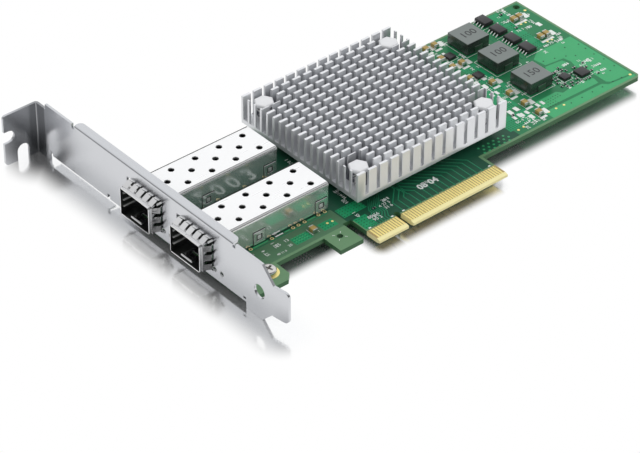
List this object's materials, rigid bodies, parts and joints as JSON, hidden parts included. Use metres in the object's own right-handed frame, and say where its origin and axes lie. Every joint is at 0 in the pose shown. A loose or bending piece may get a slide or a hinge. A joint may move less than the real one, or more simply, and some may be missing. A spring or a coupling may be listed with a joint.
{
  "type": "network interface card",
  "caption": "Low-profile expansion card with a slot bracket, two module cages, pin-fin heat sink and edge connector.",
  "frame": {"origin": "middle of the edge connector's key notch, at the contact tips, on the board's top face", "axes": "+X along the card away from the bracket, +Y up the card away from the contacts, +Z out of the component side"},
  "size_m": [0.1808, 0.1208, 0.0202],
  "materials": {
    "black_moulding": "moulded black plastic",
    "bracket_steel": "nickel-plated steel, satin",
    "cage_metal": "nickel-plated copper alloy sheet, bright",
    "ceramic": "tan ceramic",
    "chip_lid": "nickel-plated lid",
    "chip_substrate": "green laminate",
    "ferrite": "pressed grey powder core",
    "gold_plating": "hard gold plating, satin",
    "heat_sink_aluminium": "clear anodised aluminium",
    "light_body": "clear moulded plastic",
    "resistor_film": "black film on ceramic",
    "screw_steel": "bright zinc plating",
    "solder_mask": "green solder mask over copper, satin",
    "spring_metal": "bright spring metal",
    "thermal_pad": "soft grey pad",
    "tin_plating": "tin plating",
    "white_nylon": "moulded nylon"
  },
  "bodies": {
    "root": {"bracket": "bracket_steel", "bracket_screws": "screw_steel", "capacitor_caps": "tin_plating", "ceramic_capacitors": "ceramic", "chip_resistors": "resistor_film", "circuit_board": "solder_mask", "controller_lid": "chip_lid", "controller_substrate": "chip_substrate", "edge_contacts": "gold_plating", "heat_sink": "heat_sink_aluminium", "inductor_terminals": "tin_plating", "module_cage_1": "cage_metal", "module_cage_2": "cage_metal", "monitor_chip": "black_moulding", "port_socket_1": "black_moulding", "port_socket_2": "black_moulding", "power_chip_1": "black_moulding", "power_chip_2": "black_moulding", "power_chip_3": "black_moulding", "power_chip_4": "black_moulding", "power_chip_leads": "tin_plating", "power_inductor_1": "ferrite", "power_inductor_2": "ferrite", "power_inductor_3": "ferrite", "push_pin_springs": "spring_metal", "push_pins": "white_nylon", "regulator_chip_1": "black_moulding", "regulator_chip_2": "black_moulding", "sequencer_chip": "black_moulding", "spring_collar_1": "spring_metal", "spring_collar_2": "spring_metal", "status_lights": "light_body", "thermal_pad": "thermal_pad"}
  },
  "joints": []
}
